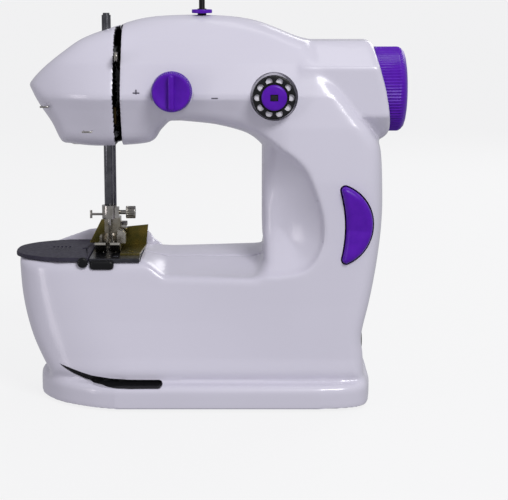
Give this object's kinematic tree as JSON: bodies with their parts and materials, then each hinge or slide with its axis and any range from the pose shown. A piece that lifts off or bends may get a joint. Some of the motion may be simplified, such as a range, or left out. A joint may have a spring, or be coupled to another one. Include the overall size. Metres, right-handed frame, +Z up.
{
  "type": "mini sewing machine",
  "caption": "Portable household lockstitch sewing machine with a C-shaped moulded body, free arm, hand wheel, tension dial, rocker switch, needle and presser foot.",
  "frame": {"origin": "centre of the bounding box in X and Y, on the plane of the rubber feet", "axes": "+X towards the hand wheel, -Y towards the operator's face of the machine, +Z up along the needle and the spool pin"},
  "size_m": [0.1944, 0.095, 0.2287],
  "materials": {
    "casing_white": "smooth gloss ABS with a faint lavender tint",
    "purple_plastic": "satin to gloss violet ABS",
    "cover_plastic": "dark slate plastic, satin",
    "black_plastic": "black moulded plastic",
    "mark_grey": "printed mark",
    "rubber_black": "matt",
    "belt_rubber": "matt",
    "nylon_cream": "natural nylon",
    "frame_metal": "die casting, sandblasted",
    "bronze": "sintered bronze",
    "ground_steel": "ground",
    "dark_steel": "oiled dark steel",
    "bright_steel": "bright nickel plate",
    "foot_metal": "plated pressing with soft wear",
    "plate_steel": "fine brushed",
    "yellow_zinc": "yellow chromate zinc on steel",
    "yoke_brass": "machined",
    "spring_steel": "drawn wire",
    "contact_nickel": "nickel plated",
    "thread_white": "spun polyester thread",
    "lamp_lens": "frosted clear lens",
    "board_green": "solder mask"
  },
  "bodies": {
    "machine_body": {"front_casing": "casing_white", "rear_casing": "casing_white", "face_cover": "casing_white", "base_plate": "casing_white", "bobbin_spindle": "purple_plastic", "spool_collar": "purple_plastic", "battery_box": "black_plastic", "switch_body": "black_plastic", "socket_block": "black_plastic", "dial_marks": "mark_grey", "rubber_feet": "rubber_black", "timing_belt": "belt_rubber", "drive_belt": "belt_rubber", "arm_frame": "frame_metal", "hook_frame": "frame_metal", "head_frame": "frame_metal", "shaft_bushings": "bronze", "take_up_pivot": "ground_steel", "tension_stud": "dark_steel", "casing_screws": "dark_steel", "tension_discs": "bright_steel", "thread_guides": "bright_steel", "bobbin_case": "bright_steel", "needle_plate": "plate_steel", "motor": "plate_steel", "motor_bracket": "plate_steel", "guard_plate": "yellow_zinc", "tension_spring": "spring_steel", "battery_contacts": "contact_nickel", "lamp": "lamp_lens", "circuit_board": "board_green"},
    "drive_shaft": {"main_shaft": "ground_steel", "crank_disc": "ground_steel", "hand_wheel": "purple_plastic", "main_pulley": "black_plastic", "timing_pulley": "nylon_cream"},
    "hook_drive": {"hook_shaft": "ground_steel", "hook_pulley": "nylon_cream", "rotary_hook": "bright_steel"},
    "motor_rotor": {"motor_pulley": "black_plastic"},
    "bobbin_below": {"lower_bobbin": "bright_steel"},
    "needle_bar_set": {"needle_bar": "dark_steel", "needle_bar_yoke": "yoke_brass", "needle": "bright_steel", "needle_clamp": "bright_steel", "clamp_screw": "bright_steel"},
    "take_up": {"take_up_lever": "bright_steel"},
    "feed": {"feed_bar": "ground_steel"},
    "presser": {"presser_bar": "dark_steel", "presser_spring": "spring_steel", "presser_foot": "foot_metal", "foot_screw": "bright_steel"},
    "lifter": {"lifter_lever": "cover_plastic"},
    "dial": {"tension_knob": "purple_plastic"},
    "bobbin_front": {"front_bobbin": "black_plastic", "bobbin_thread": "thread_white"},
    "rocker": {"rocker_switch": "purple_plastic"},
    "spool": {"spool_pin": "black_plastic"},
    "cover": {"slide_cover": "cover_plastic"},
    "door": {"battery_door": "casing_white"}
  },
  "joints": [
    {"name": "hand_wheel_turn", "type": "hinge", "parent": "machine_body", "child": "drive_shaft", "pos_m": [0, -0.003, 0.1527], "axis": [1, 0, 0], "continuous": true},
    {"name": "hook_turn", "type": "hinge", "parent": "machine_body", "child": "hook_drive", "pos_m": [0, -0.003, 0.05], "axis": [1, 0, 0], "continuous": true},
    {"name": "motor_turn", "type": "hinge", "parent": "machine_body", "child": "motor_rotor", "pos_m": [0, 0.008, 0.112], "axis": [1, 0, 0], "continuous": true},
    {"name": "lower_bobbin_turn", "type": "hinge", "parent": "machine_body", "child": "bobbin_below", "pos_m": [0, -0.003, 0.05], "axis": [1, 0, 0], "continuous": true},
    {"name": "needle_bar_slide", "type": "slide", "parent": "machine_body", "child": "needle_bar_set", "axis": [0, 0, 1], "range_m": [0, 0.024]},
    {"name": "take_up_swing", "type": "hinge", "parent": "machine_body", "child": "take_up", "pos_m": [-0.0439, 0.018, 0.158], "axis": [-1, 0, 0], "range_deg": [0, 14]},
    {"name": "feed_slide", "type": "slide", "parent": "machine_body", "child": "feed", "axis": [0, 1, 0], "range_m": [0, 0.003]},
    {"name": "presser_slide", "type": "slide", "parent": "machine_body", "child": "presser", "axis": [0, 0, 1], "range_m": [0, 0.005], "deforming": ["presser_spring"]},
    {"name": "lifter_turn", "type": "hinge", "parent": "machine_body", "child": "lifter", "pos_m": [-0.053, 0.034, 0.14], "axis": [0, -1, 0], "range_deg": [0, 60]},
    {"name": "tension_turn", "type": "hinge", "parent": "machine_body", "child": "dial", "pos_m": [-0.0172, -0.031, 0.1533], "axis": [0, -1, 0], "range_deg": [-150, 150]},
    {"name": "front_bobbin_turn", "type": "hinge", "parent": "machine_body", "child": "bobbin_front", "pos_m": [0.0316, -0.032, 0.1509], "axis": [0, -1, 0], "continuous": true},
    {"name": "rocker_tilt", "type": "hinge", "parent": "machine_body", "child": "rocker", "pos_m": [0.07, -0.033, 0.0885], "axis": [1, 0, 0], "range_deg": [-4, 4]},
    {"name": "spool_pin_slide", "type": "slide", "parent": "machine_body", "child": "spool", "axis": [0, 0, -1], "range_m": [0, 0.02]},
    {"name": "cover_slide", "type": "slide", "parent": "machine_body", "child": "cover", "axis": [-1, 0, 0], "range_m": [0, 0.034]},
    {"name": "door_slide", "type": "slide", "parent": "machine_body", "child": "door", "axis": [-1, 0, 0], "range_m": [0, 0.008]}
  ],
  "couplings": [
    {"joint": "hook_turn", "follows": "hand_wheel_turn", "ratio": 2},
    {"joint": "motor_turn", "follows": "hand_wheel_turn", "ratio": 3},
    {"joint": "take_up_swing", "follows": "needle_bar_slide", "rad_per_m": 10.181},
    {"joint": "feed_slide", "follows": "needle_bar_slide", "ratio": 0.125},
    {"joint": "lifter_turn", "follows": "presser_slide", "rad_per_m": 209.43}
  ]
}
